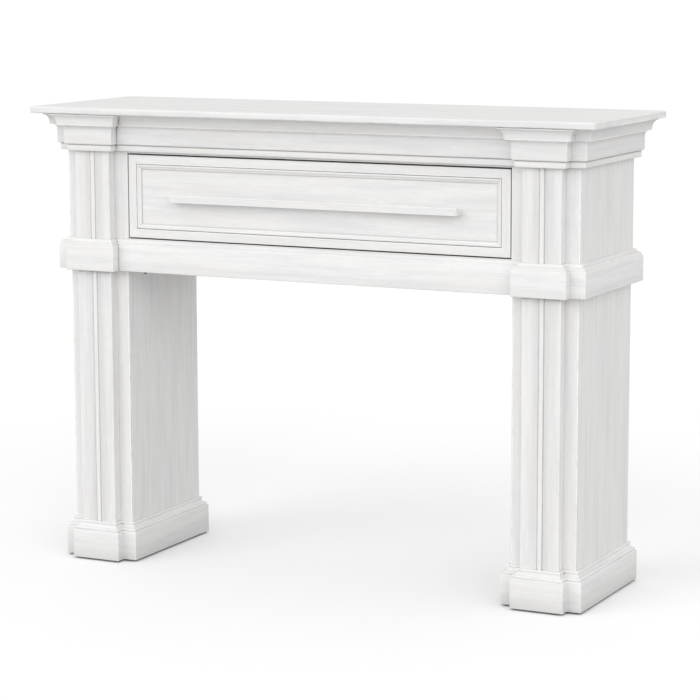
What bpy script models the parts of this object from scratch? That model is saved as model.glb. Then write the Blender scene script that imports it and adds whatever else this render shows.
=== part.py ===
"""A free-standing wooden fireplace mantelpiece with one wide drawer under its shelf.

Metres, +Z up. The origin is on the floor, midway along the width and the depth of the shelf.
The front faces -Y. Two box legs stand on small glides. They carry a case with the drawer.
A belt moulding wraps the foot of the case and a crown moulding wraps its head.
"""

import math

import bmesh
import bpy
from mathutils import Vector

# Plan sizes
OPENING_WIDTH = 1.048
LEG_WIDTH = 0.175
CASE_DEPTH = 0.350
LEG_INSET = 0.0025
BOARD = 0.018
BACK_PANEL = 0.012
PILASTER_WIDTH = 0.099
PILASTER_THICKNESS = 0.028

# Heights, from the floor up
GLIDE_HEIGHT = 0.004
PLINTH_HEIGHT = 0.075
BASE_MOULDING_HEIGHT = 0.022
OPENING_HEIGHT = 0.753
BELT_BOARD_HEIGHT = 0.064
BELT_LOWER_STEP_HEIGHT = 0.009
BELT_UPPER_STEP_HEIGHT = 0.008
SILL_REVEAL = 0.0015
DRAWER_OPENING_HEIGHT = 0.2155
HEAD_REVEAL = 0.005
CROWN_STRIP_HEIGHT = 0.017
CROWN_FRIEZE_HEIGHT = 0.034
CROWN_SMALL_COVE_HEIGHT = 0.014
CROWN_LIP_HEIGHT = 0.003
CROWN_COVE_HEIGHT = 0.0225
CROWN_TOP_LIP_HEIGHT = 0.0035
SHELF_THICKNESS = 0.018

# How far the mouldings stand out from the case or the leg
PLINTH_OUT = 0.0183
BASE_BEAD_OUT = 0.0070
BASE_FILLET_OUT = 0.0150
BELT_OUT = 0.0205
BELT_UPPER_STEP_OUT = 0.0090
BELT_LOWER_STEP_OUT = 0.0175
CROWN_STRIP_OUT = 0.0144
CROWN_FRIEZE_OUT = 0.0200
CROWN_SMALL_COVE_OUT = 0.0250
CROWN_LIP_OUT = 0.0335
CROWN_OUT = 0.0460
SHELF_OVERHANG_FRONT = 0.008
SHELF_OVERHANG_SIDE = 0.017
SHELF_OVERHANG_BACK = 0.013
SHELF_CORNER_RADIUS = 0.008
SHELF_EDGE_RADIUS = 0.004

# Small forms on the mouldings
PLINTH_HEAD_ROUND = 0.0030
PLINTH_FOOT_BEVEL = 0.0010
BASE_FILLET_HEIGHT = 0.0060
BASE_FILLET_BEVEL = 0.0010
BASE_BEAD_RADIUS = 0.0026
BASE_BEAD_QUIRK = 0.0010
BASE_BEAD_OVERHANG = 0.0020
BELT_FOOT_ROUND = 0.0025
BELT_HEAD_BEVEL = 0.0015
BELT_STEP_FILLET = 0.0010
BELT_LOWER_TREAD = 0.0030
BELT_UPPER_TREAD = 0.0020
CROWN_STRIP_ROUND = 0.0035
CROWN_FRIEZE_ROUND = 0.0040
CROWN_SMALL_COVE_LIP = 0.0020

# The pilasters' central bead and the groove on each side of it
BEAD_HALF_WIDTH = 0.0052
BEAD_CROWN = 0.0012
GROOVE_WIDTH = 0.0036
GROOVE_FLOOR_WIDTH = 0.0012
GROOVE_DEPTH = 0.0042
PILASTER_EDGE_RADIUS = 0.0015

# Drawer
DRAWER_SIDE_GAP = 0.0025
DRAWER_BOTTOM_GAP = 0.0030
DRAWER_TOP_GAP = 0.0035
DRAWER_FACE_SETBACK = 0.0005
FRAME_WIDTH = 0.0228
FRAME_THICKNESS = 0.020
FRAME_EDGE_ROUND = 0.0015
FRAME_INNER_BEVEL = 0.00075
DRAWER_BEAD_WIDTH = 0.0135
DRAWER_BEAD_RISE = 0.0012
DRAWER_BEAD_RADIUS = 0.0030
DRAWER_GROOVE_WIDTH = 0.0006
DRAWER_GROOVE_DEPTH = 0.0028
DRAWER_SLOPE_START = 0.0082
DRAWER_SLOPE_DROP = 0.0022
DRAWER_SLOPE_FOOT = 0.0022
DRAWER_SLOPE_FOOT_RISE = 0.0014
DRAWER_BEAD_TONGUE = 0.0010
PANEL_RECESS = 0.0055
DRAWER_BOARD = 0.012
DRAWER_BOTTOM_THICKNESS = 0.008
DRAWER_BOTTOM_RISE = 0.010
DRAWER_BOX_SIDE_GAP = 0.010
DRAWER_BOX_HEIGHT = 0.185
DRAWER_BACK_DROP = 0.015
DRAWER_BACK_GAP = 0.018
RUNNER_WIDTH = 0.024
RUNNER_HEIGHT = 0.022
RUNNER_GAP = 0.001
PULL_LENGTH = 0.786
PULL_HEIGHT = 0.0198
PULL_PROJECTION = 0.023
PULL_TOP_BEVEL = 0.008
PULL_BOTTOM_BEVEL = 0.003
PULL_FACE_DEPTH = 0.005
PULL_EDGE_RADIUS = 0.0012

# Glides
GLIDE_RADIUS = 0.0060
GLIDE_FOOT_RADIUS = 0.0051
GLIDE_SIDES = 20
GLIDE_FRONT_INSET = 0.0115
GLIDE_BACK_INSET = 0.009

# Touching pieces stay one joint gap apart, half of it drawn off each piece.
HALF_GAP = 0.00015
MITRE_SHIFT = HALF_GAP * math.sqrt(2)
EDGE_EASE = 0.0008
ARC_STEPS = 4
SHARP_ANGLE = math.radians(28)

# Places worked out from the sizes above
OPENING_X = OPENING_WIDTH / 2
CASE_X = OPENING_X + LEG_WIDTH
PILASTER_X = OPENING_X + LEG_WIDTH / 2
SHELF_X = CASE_X + CROWN_OUT + SHELF_OVERHANG_SIDE
SHELF_FRONT_REACH = PILASTER_THICKNESS + CROWN_OUT + SHELF_OVERHANG_FRONT
SHELF_DEPTH = SHELF_FRONT_REACH + CASE_DEPTH + CROWN_OUT + SHELF_OVERHANG_BACK
FRONT_Y = -SHELF_DEPTH / 2 + SHELF_FRONT_REACH
BACK_Y = FRONT_Y + CASE_DEPTH
BACK_PANEL_Y = BACK_Y - BACK_PANEL
PLINTH_TOP = GLIDE_HEIGHT + PLINTH_HEIGHT
BELT_BOARD_TOP = OPENING_HEIGHT + BELT_BOARD_HEIGHT
BELT_STEP_Z = BELT_BOARD_TOP + BELT_LOWER_STEP_HEIGHT
BELT_TOP = BELT_STEP_Z + BELT_UPPER_STEP_HEIGHT
SILL_Z = BELT_TOP + SILL_REVEAL
HEAD_Z = SILL_Z + DRAWER_OPENING_HEIGHT
CROWN_BOTTOM = HEAD_Z + HEAD_REVEAL
COVE_BOTTOM = CROWN_BOTTOM + CROWN_STRIP_HEIGHT + CROWN_FRIEZE_HEIGHT + CROWN_SMALL_COVE_HEIGHT
CASE_TOP = COVE_BOTTOM + CROWN_LIP_HEIGHT + CROWN_COVE_HEIGHT + CROWN_TOP_LIP_HEIGHT
SHELF_TOP = CASE_TOP + SHELF_THICKNESS

SIDES = {"left": -1, "right": 1}
HORIZONTAL = (Vector((1, 0, 0)), Vector((0, 1, 0)), Vector((0, 0, 1)))
DRAWER_FACE = (Vector((1, 0, 0)), Vector((0, 0, 1)), Vector((0, -1, 0)))


def clear_scene():
    for item in list(bpy.data.objects):
        bpy.data.objects.remove(item, do_unlink=True)


def make_material(name, colour, roughness):
    material = bpy.data.materials.new(name)
    material.use_nodes = True
    shader = material.node_tree.nodes["Principled BSDF"]
    shader.inputs["Base Color"].default_value = (*colour, 1.0)
    shader.inputs["Roughness"].default_value = roughness
    shader.inputs["Metallic"].default_value = 0.0
    material.diffuse_color = (*colour, 1.0)
    return material


def add_piece(name, bm, material, parent):
    """Turns a bmesh into a named object of the mantelpiece."""
    bmesh.ops.recalc_face_normals(bm, faces=bm.faces)
    mesh = bpy.data.meshes.new(name)
    bm.to_mesh(mesh)
    bm.free()
    mesh.shade_smooth()
    mesh.set_sharp_from_angle(angle=SHARP_ANGLE)
    mesh.materials.append(material)
    piece = bpy.data.objects.new(name, mesh)
    piece.parent = parent
    MANTELPIECE.objects.link(piece)
    return piece


def bevel(bm, edges, width, segments=1):
    bmesh.ops.bevel(
        bm,
        geom=edges,
        offset=width,
        segments=segments,
        affect="EDGES",
        profile=0.5,
        material=-1,
    )


def new_verts(drawn):
    """The vertices that an extrusion made."""
    return [part for part in drawn["geom"] if isinstance(part, bmesh.types.BMVert)]


def board(name, low, high, material, parent):
    """A plain board between two nominal corners, drawn half a joint gap small all round."""
    bm = bmesh.new()
    bmesh.ops.create_cube(bm, size=1.0)
    size = Vector(high) - Vector(low)
    bmesh.ops.scale(bm, vec=size - Vector((2 * HALF_GAP,) * 3), verts=bm.verts)
    bmesh.ops.translate(bm, vec=(Vector(high) + Vector(low)) / 2, verts=bm.verts)
    bevel(bm, bm.edges[:], EDGE_EASE)
    return add_piece(name, bm, material, parent)


def prism(name, outline, bottom, top, material, parent, ease=0.0):
    """An upright piece: its plan outline, drawn up from bottom to top."""
    bm = bmesh.new()
    face = bm.faces.new([bm.verts.new((x, y, bottom + HALF_GAP)) for x, y in outline])
    drawn = bmesh.ops.extrude_face_region(bm, geom=[face])
    bmesh.ops.translate(bm, vec=(0, 0, top - bottom - 2 * HALF_GAP), verts=new_verts(drawn))
    if ease:
        bevel(bm, bm.edges[:], ease)
    return add_piece(name, bm, material, parent)


def wall(name, start, end, mitres, bottom, top, material, parent):
    """A board of a box. In plan its outer face runs from start to end, with the box's inside on the left.

    mitres holds 1 for an end cut to 45 degrees and 0 for a square one.
    """
    start, end = Vector(start), Vector(end)
    along = (end - start).normalized()
    inward = Vector((-along.y, along.x))
    cuts = [BOARD * mitre for mitre in mitres]
    shifts = [MITRE_SHIFT if mitre else HALF_GAP for mitre in mitres]
    outline = [
        start + along * shifts[0],
        end - along * shifts[1],
        end - along * (shifts[1] + cuts[1]) + inward * (BOARD - HALF_GAP),
        start + along * (shifts[0] + cuts[0]) + inward * (BOARD - HALF_GAP),
    ]
    return prism(name, outline, bottom, top, material, parent, ease=EDGE_EASE)


def arc(centre, radii, start, end, steps=ARC_STEPS):
    """Points of an elliptical arc, in degrees, first and last points included."""
    angles = [math.radians(start + (end - start) * step / steps) for step in range(steps + 1)]
    return [(centre[0] + radii[0] * math.cos(a), centre[1] + radii[1] * math.sin(a)) for a in angles]


def round_edge(centre, radius, start, end, steps=3):
    """Part of a circle, for the rounded edges of a section."""
    return arc(centre, (radius, radius), start, end, steps)


def stations(path, closed, ends):
    """Each point of a moulding's path with the direction in which its section is spread there.

    The moulding stands out to the left of the path. At an open end, 1 is the mitre of an outside
    corner, -1 that of an inside corner, and 0 a square cut.
    """
    points = [Vector(point) for point in path]
    count = len(points)
    leg_count = count if closed else count - 1
    legs = [(points[(i + 1) % count] - points[i]).normalized() for i in range(leg_count)]
    outs = [Vector((-leg.y, leg.x)) for leg in legs]
    found = []
    for i, point in enumerate(points):
        if not closed and i == 0:
            shift = MITRE_SHIFT if ends[0] else HALF_GAP
            found.append((point + legs[0] * shift, outs[0] - legs[0] * ends[0]))
        elif not closed and i == count - 1:
            shift = MITRE_SHIFT if ends[1] else HALF_GAP
            found.append((point - legs[-1] * shift, outs[-1] + legs[-1] * ends[1]))
        else:
            before, after = outs[i - 1], outs[i % len(outs)]
            found.append((point, (before + after) / (1 + before.dot(after))))
    return found


def moulding(name, path, section, material, parent, closed=False, ends=(0, 0), plane=HORIZONTAL, sign=1):
    """Runs a section along a path, mitred at each corner.

    section lists (out, rise) points round the moulding. plane holds the three directions of the
    path's two coordinates and of the rise. sign -1 mirrors the piece to the other side of the object.
    """
    across, along, up = plane
    bm = bmesh.new()
    out_layer = bm.verts.layers.float.new("out")
    rise_layer = bm.verts.layers.float.new("rise")
    spots = stations(path, closed, ends)

    def place(vert, spot):
        flat = spot[0] + spot[1] * vert[out_layer]
        vert.co = across * (flat.x * sign) + along * flat.y + up * vert[rise_layer]

    ring = []
    for out, rise in section:
        vert = bm.verts.new()
        vert[out_layer] = out
        vert[rise_layer] = rise
        place(vert, spots[0])
        ring.append(vert)
    first_edges = [bm.edges.new((ring[i - 1], vert)) for i, vert in enumerate(ring)]
    edges = first_edges
    for spot in spots[1:]:
        drawn = bmesh.ops.extrude_edge_only(bm, edges=edges)["geom"]
        edges = [part for part in drawn if isinstance(part, bmesh.types.BMEdge) and part.is_boundary]
        for vert in {vert for edge in edges for vert in edge.verts}:
            place(vert, spot)
    if closed:
        bmesh.ops.bridge_loops(bm, edges=edges + first_edges)
    else:
        bmesh.ops.edgeloop_fill(bm, edges=first_edges)
        bmesh.ops.edgeloop_fill(bm, edges=edges)
    return add_piece(name, bm, material, parent)


def leg_outline(inset):
    """Plan corners of the right leg box drawn in by inset: inner, outer, front and back limits."""
    return OPENING_X + inset, CASE_X - inset, FRONT_Y + inset, BACK_Y - inset


def face_path(inset):
    """The right leg's outside face in plan, from its back outer corner round to its inner front corner."""
    inner, outer, front, back = leg_outline(inset)
    pilaster_outer = PILASTER_X + PILASTER_WIDTH / 2
    pilaster_inner = PILASTER_X - PILASTER_WIDTH / 2
    pilaster_front = front - PILASTER_THICKNESS
    return [
        (outer, back),
        (outer, front),
        (pilaster_outer, front),
        (pilaster_outer, pilaster_front),
        (pilaster_inner, pilaster_front),
        (pilaster_inner, front),
        (inner, front),
        (inner, back),
    ]


def crown_cove_section():
    """A lip, the large cove over it and a narrow lip at the top."""
    low = COVE_BOTTOM + HALF_GAP
    high = CASE_TOP - HALF_GAP
    centre = (CROWN_OUT, COVE_BOTTOM + CROWN_LIP_HEIGHT)
    cove = arc(centre, (CROWN_OUT - CROWN_LIP_OUT, CROWN_COVE_HEIGHT), 180, 90, 6)
    return [(HALF_GAP, low), (CROWN_LIP_OUT, low), *cove, (CROWN_OUT, high), (HALF_GAP, high)]


def crown_frieze_section():
    """A flat frieze with a rounded foot, a rounded strip under it and a small cove over it."""
    low = CROWN_BOTTOM + HALF_GAP
    step = CROWN_BOTTOM + CROWN_STRIP_HEIGHT
    cove_foot = step + CROWN_FRIEZE_HEIGHT
    high = COVE_BOTTOM - HALF_GAP
    strip_x = CROWN_STRIP_OUT - CROWN_STRIP_ROUND
    frieze_x = CROWN_FRIEZE_OUT - CROWN_FRIEZE_ROUND
    cove_width = CROWN_SMALL_COVE_OUT - CROWN_FRIEZE_OUT
    cove_rise = CROWN_SMALL_COVE_HEIGHT - CROWN_SMALL_COVE_LIP
    return [
        (HALF_GAP, low),
        *round_edge((strip_x, low + CROWN_STRIP_ROUND), CROWN_STRIP_ROUND, -90, 0),
        *round_edge((strip_x, step - CROWN_STRIP_ROUND), CROWN_STRIP_ROUND, 0, 60, 2),
        *round_edge((frieze_x, step + CROWN_FRIEZE_ROUND), CROWN_FRIEZE_ROUND, -90, 0),
        *arc((CROWN_SMALL_COVE_OUT, cove_foot), (cove_width, cove_rise), 180, 90),
        (CROWN_SMALL_COVE_OUT, high),
        (HALF_GAP, high),
    ]


def step_nose(inner, outer, tread, bottom, top):
    """The quarter-round front of one step of the belt, over a short upright fillet."""
    centre = (inner + tread, bottom + BELT_STEP_FILLET)
    return arc(centre, (outer - centre[0], top - centre[1]), 0, 90)


def belt_section():
    """A plain board with two quarter-round steps on top of it."""
    low = OPENING_HEIGHT + HALF_GAP
    top = BELT_TOP - HALF_GAP
    upper, lower = BELT_UPPER_STEP_OUT, BELT_LOWER_STEP_OUT
    return [
        (HALF_GAP, low),
        *round_edge((BELT_OUT - BELT_FOOT_ROUND, low + BELT_FOOT_ROUND), BELT_FOOT_ROUND, -90, 0),
        (BELT_OUT, BELT_BOARD_TOP - BELT_HEAD_BEVEL),
        (BELT_OUT - BELT_HEAD_BEVEL, BELT_BOARD_TOP),
        (lower, BELT_BOARD_TOP),
        *step_nose(upper, lower, BELT_LOWER_TREAD, BELT_BOARD_TOP, BELT_STEP_Z),
        (upper, BELT_STEP_Z),
        *step_nose(0.0, upper, BELT_UPPER_TREAD, BELT_STEP_Z, top),
        (HALF_GAP, top),
    ]


def plinth_section():
    """A plain tall board with a rounded top edge."""
    low = GLIDE_HEIGHT + HALF_GAP
    high = PLINTH_TOP - HALF_GAP
    centre = (PLINTH_OUT - PLINTH_HEAD_ROUND, high - PLINTH_HEAD_ROUND)
    return [
        (HALF_GAP, low),
        (PLINTH_OUT - PLINTH_FOOT_BEVEL, low),
        (PLINTH_OUT, low + PLINTH_FOOT_BEVEL),
        *round_edge(centre, PLINTH_HEAD_ROUND, 0, 90),
        (HALF_GAP, high),
    ]


def base_moulding_section():
    """A fillet, a cove over it and a bead at the top."""
    low = PLINTH_TOP + HALF_GAP
    top = PLINTH_TOP + BASE_MOULDING_HEIGHT
    fillet_top = PLINTH_TOP + BASE_FILLET_HEIGHT
    cove_top = top - 2 * BASE_BEAD_RADIUS - BASE_BEAD_QUIRK
    cove_width = BASE_FILLET_OUT - BASE_BEAD_OUT + BASE_BEAD_OVERHANG
    bead_centre = (BASE_BEAD_OUT - BASE_BEAD_RADIUS, top - BASE_BEAD_RADIUS)
    return [
        (HALF_GAP, low),
        (BASE_FILLET_OUT - BASE_FILLET_BEVEL, low),
        (BASE_FILLET_OUT, low + BASE_FILLET_BEVEL),
        *arc((BASE_FILLET_OUT, cove_top), (cove_width, cove_top - fillet_top), 270, 180, 5),
        *round_edge(bead_centre, BASE_BEAD_RADIUS, -90, 90, 6),
        (HALF_GAP, top),
    ]


def wrap_moulding(name, section, material, parent):
    """A moulding round the case: one length round each leg box, one between them and one at the back."""
    path = face_path(0.0)[:-2]  # ends in the corner between the pilaster and the leg's inner front
    for side, sign in SIDES.items():
        moulding(f"{name}_{side}", path, section, material, parent, ends=(1, -1), sign=sign)
    corner_x, corner_y = path[-1]
    centre = [(corner_x, corner_y), (-corner_x, corner_y)]
    moulding(f"{name}_centre", centre, section, material, parent, ends=(-1, -1))
    back = [(-CASE_X, BACK_Y), (CASE_X, BACK_Y)]
    moulding(f"{name}_back", back, section, material, parent, ends=(1, 1))


def pilaster(name, sign, front, bottom, top, material, parent):
    """The board in front of a leg, with a bead between two grooves down its middle."""
    half = PILASTER_WIDTH / 2 - HALF_GAP
    face = front - PILASTER_THICKNESS
    back = front - HALF_GAP
    groove_mid = BEAD_HALF_WIDTH + GROOVE_WIDTH / 2
    edge_centre = (half - PILASTER_EDGE_RADIUS, face + PILASTER_EDGE_RADIUS)
    right_half = [
        *arc((0, face + BEAD_CROWN), (BEAD_HALF_WIDTH, BEAD_CROWN), -90, 0),
        (groove_mid - GROOVE_FLOOR_WIDTH / 2, face + GROOVE_DEPTH),
        (groove_mid + GROOVE_FLOOR_WIDTH / 2, face + GROOVE_DEPTH),
        (BEAD_HALF_WIDTH + GROOVE_WIDTH, face),
        *round_edge(edge_centre, PILASTER_EDGE_RADIUS, -90, 0, 2),
        (half, back),
    ]
    left_half = [(-x, y) for x, y in reversed(right_half[1:])]
    outline = [(sign * PILASTER_X + x, y) for x, y in left_half + right_half]
    return prism(name, outline, bottom, top, material, parent)


def leg_walls(prefix, side, walls, bottom, top, material, parent):
    """The walls of the right leg, or their mirror images on the left leg."""
    for name, (start, end, mitres) in walls.items():
        if side == "left":
            start, end = (-end[0], end[1]), (-start[0], start[1])
            mitres = mitres[::-1]
        wall(f"{prefix}_{name}_{side}", start, end, mitres, bottom, top, material, parent)


def build_lower_leg(side, sign, wood, nylon, parent):
    """One leg: four mitred boards, a pilaster, the plinth and its moulding, and two glides."""
    inner, outer, front, back = leg_outline(LEG_INSET)
    walls = {
        "front_board": ((inner, front), (outer, front), (1, 1)),
        "outer_board": ((outer, front), (outer, back), (1, 1)),
        "back_board": ((outer, back), (inner, back), (1, 1)),
        "inner_board": ((inner, back), (inner, front), (1, 1)),
    }
    leg_walls("leg", side, walls, GLIDE_HEIGHT, OPENING_HEIGHT, wood, parent)
    pilaster(f"leg_pilaster_{side}", sign, front, GLIDE_HEIGHT, OPENING_HEIGHT, wood, parent)
    path = face_path(LEG_INSET)
    moulding(f"plinth_{side}", path, plinth_section(), wood, parent, closed=True, sign=sign)
    moulding(f"base_moulding_{side}", path, base_moulding_section(), wood, parent, closed=True, sign=sign)
    for place, y in {"front": front - GLIDE_FRONT_INSET, "back": back - GLIDE_BACK_INSET}.items():
        bm = bmesh.new()
        bmesh.ops.create_cone(
            bm,
            cap_ends=True,
            segments=GLIDE_SIDES,
            radius1=GLIDE_FOOT_RADIUS,
            radius2=GLIDE_RADIUS,
            depth=GLIDE_HEIGHT - HALF_GAP,
        )
        middle = Vector((sign * PILASTER_X, y, (GLIDE_HEIGHT - HALF_GAP) / 2))
        bmesh.ops.translate(bm, vec=middle, verts=bm.verts)
        add_piece(f"glide_{place}_{side}", bm, nylon, parent)


def build_case(wood, bare_wood, parent):
    """The upper part of both leg boxes, the rails and panels between them and the drawer's runners."""
    inner, outer, front, back = leg_outline(0.0)
    low, high = OPENING_HEIGHT, CASE_TOP
    rail_back = front + BOARD
    walls = {
        "front_board": ((inner, front), (outer, front), (0, 1)),
        "outer_side": ((outer, front), (outer, back), (1, 0)),
        "inner_side": ((inner, BACK_PANEL_Y), (inner, rail_back), (0, 0)),
    }
    for side, sign in SIDES.items():
        leg_walls("case", side, walls, low, high, wood, parent)
        pilaster(f"case_pilaster_{side}", sign, front, low, high, wood, parent)
        runner_x = sorted((sign * OPENING_X, sign * (OPENING_X - RUNNER_WIDTH)))
        board(
            f"drawer_runner_{side}",
            (runner_x[0], rail_back, SILL_Z - RUNNER_HEIGHT),
            (runner_x[1], BACK_PANEL_Y, SILL_Z),
            bare_wood,
            parent,
        )
    board("lintel_rail", (-OPENING_X, front, low), (OPENING_X, rail_back, SILL_Z), wood, parent)
    board("head_rail", (-OPENING_X, front, HEAD_Z), (OPENING_X, rail_back, high), wood, parent)
    board("case_soffit", (-OPENING_X, rail_back, low), (OPENING_X, BACK_PANEL_Y, low + BOARD), wood, parent)
    panel_x = CASE_X - BOARD
    board("case_back", (-panel_x, BACK_PANEL_Y, low), (panel_x, back, high), wood, parent)
    wrap_moulding("belt", belt_section(), wood, parent)
    wrap_moulding("crown_frieze", crown_frieze_section(), wood, parent)
    wrap_moulding("crown_cove", crown_cove_section(), wood, parent)


def is_upright(edge):
    return abs(edge.verts[0].co.z - edge.verts[1].co.z) > HALF_GAP


def build_shelf(wood, parent):
    """The top slab: rounded corners in plan, then rounded top and bottom edges."""
    bm = bmesh.new()
    bmesh.ops.create_cube(bm, size=1.0)
    bmesh.ops.scale(bm, vec=(2 * SHELF_X, SHELF_DEPTH, SHELF_THICKNESS - HALF_GAP), verts=bm.verts)
    bmesh.ops.translate(bm, vec=(0, 0, (CASE_TOP + HALF_GAP + SHELF_TOP) / 2), verts=bm.verts)
    bevel(bm, [edge for edge in bm.edges if is_upright(edge)], SHELF_CORNER_RADIUS, segments=4)
    rims = [edge for edge in bm.edges if not is_upright(edge)]
    bevel(bm, rims, SHELF_EDGE_RADIUS, segments=3)
    add_piece("mantel_shelf", bm, wood, parent)


def drawer_frame_section(face_rise):
    """A flat frame member with a rounded outer edge and a small bevel on its inner edge."""
    back_rise = face_rise - FRAME_THICKNESS + HALF_GAP
    edge_centre = (FRAME_WIDTH - FRAME_EDGE_ROUND, face_rise - FRAME_EDGE_ROUND)
    return [
        (HALF_GAP, back_rise),
        (FRAME_WIDTH, back_rise),
        *round_edge(edge_centre, FRAME_EDGE_ROUND, 0, 90, 2),
        (HALF_GAP + FRAME_INNER_BEVEL, face_rise),
        (HALF_GAP, face_rise - FRAME_INNER_BEVEL),
    ]


def drawer_bead_section(face_rise):
    """From the frame's inner edge inwards: a groove, a rounded bead, and a slope down to the panel."""
    panel_rise = face_rise - PANEL_RECESS + HALF_GAP
    centre_out = -HALF_GAP - DRAWER_GROOVE_WIDTH - DRAWER_BEAD_RADIUS
    centre_rise = face_rise + DRAWER_BEAD_RISE - DRAWER_BEAD_RADIUS
    return [
        (-HALF_GAP, panel_rise),
        (-HALF_GAP, face_rise - DRAWER_GROOVE_DEPTH),
        *round_edge((centre_out, centre_rise), DRAWER_BEAD_RADIUS, 0, 160, 5),
        (-DRAWER_SLOPE_START, face_rise - DRAWER_SLOPE_DROP),
        (-DRAWER_BEAD_WIDTH + DRAWER_SLOPE_FOOT, panel_rise + DRAWER_SLOPE_FOOT_RISE),
        (-DRAWER_BEAD_WIDTH, panel_rise + DRAWER_BEAD_TONGUE),
        (-DRAWER_BEAD_WIDTH, panel_rise),
    ]


def build_drawer(wood, bare_wood, parent):
    """The drawer: its framed front with the bead, panel and pull, and the plain box behind it."""
    half = OPENING_X - DRAWER_SIDE_GAP
    low = SILL_Z + DRAWER_BOTTOM_GAP
    high = HEAD_Z - DRAWER_TOP_GAP
    face_y = FRONT_Y + DRAWER_FACE_SETBACK
    face_rise = -face_y
    inside_x = half - FRAME_WIDTH
    inside = [(inside_x, low + FRAME_WIDTH), (-inside_x, low + FRAME_WIDTH)]
    inside += [(-inside_x, high - FRAME_WIDTH), (inside_x, high - FRAME_WIDTH)]
    sections = {
        "drawer_frame": drawer_frame_section(face_rise),
        "drawer_bead": drawer_bead_section(face_rise),
    }
    for i, name in enumerate(("bottom", "left", "top", "right")):
        path = [inside[i], inside[(i + 1) % 4]]
        for kind, section in sections.items():
            moulding(f"{kind}_{name}", path, section, wood, parent, ends=(1, 1), plane=DRAWER_FACE)
    panel_y = face_y + PANEL_RECESS
    frame_back = face_y + FRAME_THICKNESS
    board(
        "drawer_panel",
        (-inside_x, panel_y, low + FRAME_WIDTH),
        (inside_x, frame_back, high - FRAME_WIDTH),
        wood,
        parent,
    )
    build_pull(panel_y, (low + high) / 2, wood, parent)
    box_x = OPENING_X - DRAWER_BOX_SIDE_GAP
    inside_box = box_x - DRAWER_BOARD
    box_low = SILL_Z + RUNNER_GAP
    box_high = box_low + DRAWER_BOX_HEIGHT
    box_back = BACK_PANEL_Y - DRAWER_BACK_GAP
    for side, sign in SIDES.items():
        side_x = sorted((sign * inside_box, sign * box_x))
        low_corner = (side_x[0], frame_back, box_low)
        high_corner = (side_x[1], box_back, box_high)
        board(f"drawer_side_{side}", low_corner, high_corner, bare_wood, parent)
    board(
        "drawer_back",
        (-inside_box, box_back - DRAWER_BOARD, box_low),
        (inside_box, box_back, box_high - DRAWER_BACK_DROP),
        bare_wood,
        parent,
    )
    floor = box_low + DRAWER_BOTTOM_RISE
    board(
        "drawer_bottom",
        (-inside_box, frame_back, floor),
        (inside_box, box_back - DRAWER_BOARD, floor + DRAWER_BOTTOM_THICKNESS),
        bare_wood,
        parent,
    )


def build_pull(panel_y, middle, wood, parent):
    """The long bar pull: a tall face in front that narrows to a neck at the panel."""
    back = panel_y - HALF_GAP
    face = FRONT_Y - PULL_PROJECTION
    top, bottom = middle + PULL_HEIGHT / 2, middle - PULL_HEIGHT / 2
    shoulder = face + PULL_FACE_DEPTH
    section = [
        (back, bottom + PULL_BOTTOM_BEVEL),
        (shoulder, bottom),
        (face, bottom),
        (face, top),
        (shoulder, top),
        (back, top - PULL_TOP_BEVEL),
    ]
    bm = bmesh.new()
    end = bm.faces.new([bm.verts.new((-PULL_LENGTH / 2, y, z)) for y, z in section])
    drawn = bmesh.ops.extrude_face_region(bm, geom=[end])
    bmesh.ops.translate(bm, vec=(PULL_LENGTH, 0, 0), verts=new_verts(drawn))
    rim = [edge for edge in bm.edges if min(vert.co.y for vert in edge.verts) < shoulder - HALF_GAP]
    rim = [edge for edge in rim if max(vert.co.y for vert in edge.verts) < back - HALF_GAP]
    bevel(bm, rim, PULL_EDGE_RADIUS)
    add_piece("drawer_pull", bm, wood, parent)


def build_mantelpiece():
    wood = make_material("white_washed_wood", (0.80, 0.79, 0.77), 0.62)
    bare_wood = make_material("bare_drawer_wood", (0.62, 0.49, 0.34), 0.70)
    nylon = make_material("grey_nylon", (0.40, 0.39, 0.36), 0.55)
    cabinet = bpy.data.objects.new("cabinet", None)
    drawer = bpy.data.objects.new("drawer", None)
    for empty in (cabinet, drawer):
        MANTELPIECE.objects.link(empty)
    build_shelf(wood, cabinet)
    build_case(wood, bare_wood, cabinet)
    for side, sign in SIDES.items():
        build_lower_leg(side, sign, wood, nylon, cabinet)
    build_drawer(wood, bare_wood, drawer)


clear_scene()
MANTELPIECE = bpy.data.collections.new("fireplace_mantelpiece")
bpy.context.scene.collection.children.link(MANTELPIECE)
build_mantelpiece()
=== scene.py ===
"""The looks of a white-washed wooden fireplace mantelpiece, built round its packed frame.

Every board and moulding is a copy of its own solid with eased corners, hand-worn edges and a
grain of its own. Metres, +Z up, in the frame's own place.
"""

import math
import random

import bmesh
import bpy
from mathutils import Matrix, Vector, noise


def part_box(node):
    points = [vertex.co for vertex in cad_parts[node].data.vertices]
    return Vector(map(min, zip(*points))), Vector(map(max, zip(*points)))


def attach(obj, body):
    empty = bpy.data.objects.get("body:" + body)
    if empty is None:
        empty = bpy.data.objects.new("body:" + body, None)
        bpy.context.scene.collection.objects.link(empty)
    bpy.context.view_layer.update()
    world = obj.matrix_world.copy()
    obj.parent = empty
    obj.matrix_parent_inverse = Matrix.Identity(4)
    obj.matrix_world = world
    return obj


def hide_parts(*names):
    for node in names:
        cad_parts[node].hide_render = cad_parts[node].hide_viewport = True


bl_info = {
    "name": "White-washed Mantelpiece",
    "version": (1, 0, 0),
    "blender": (4, 5, 0),
    "location": "3D View > Sidebar > Mantelpiece",
    "description": "Dresses a mantelpiece's boards and mouldings in limed, hand-worn wood",
    "category": "Object",
}

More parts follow.
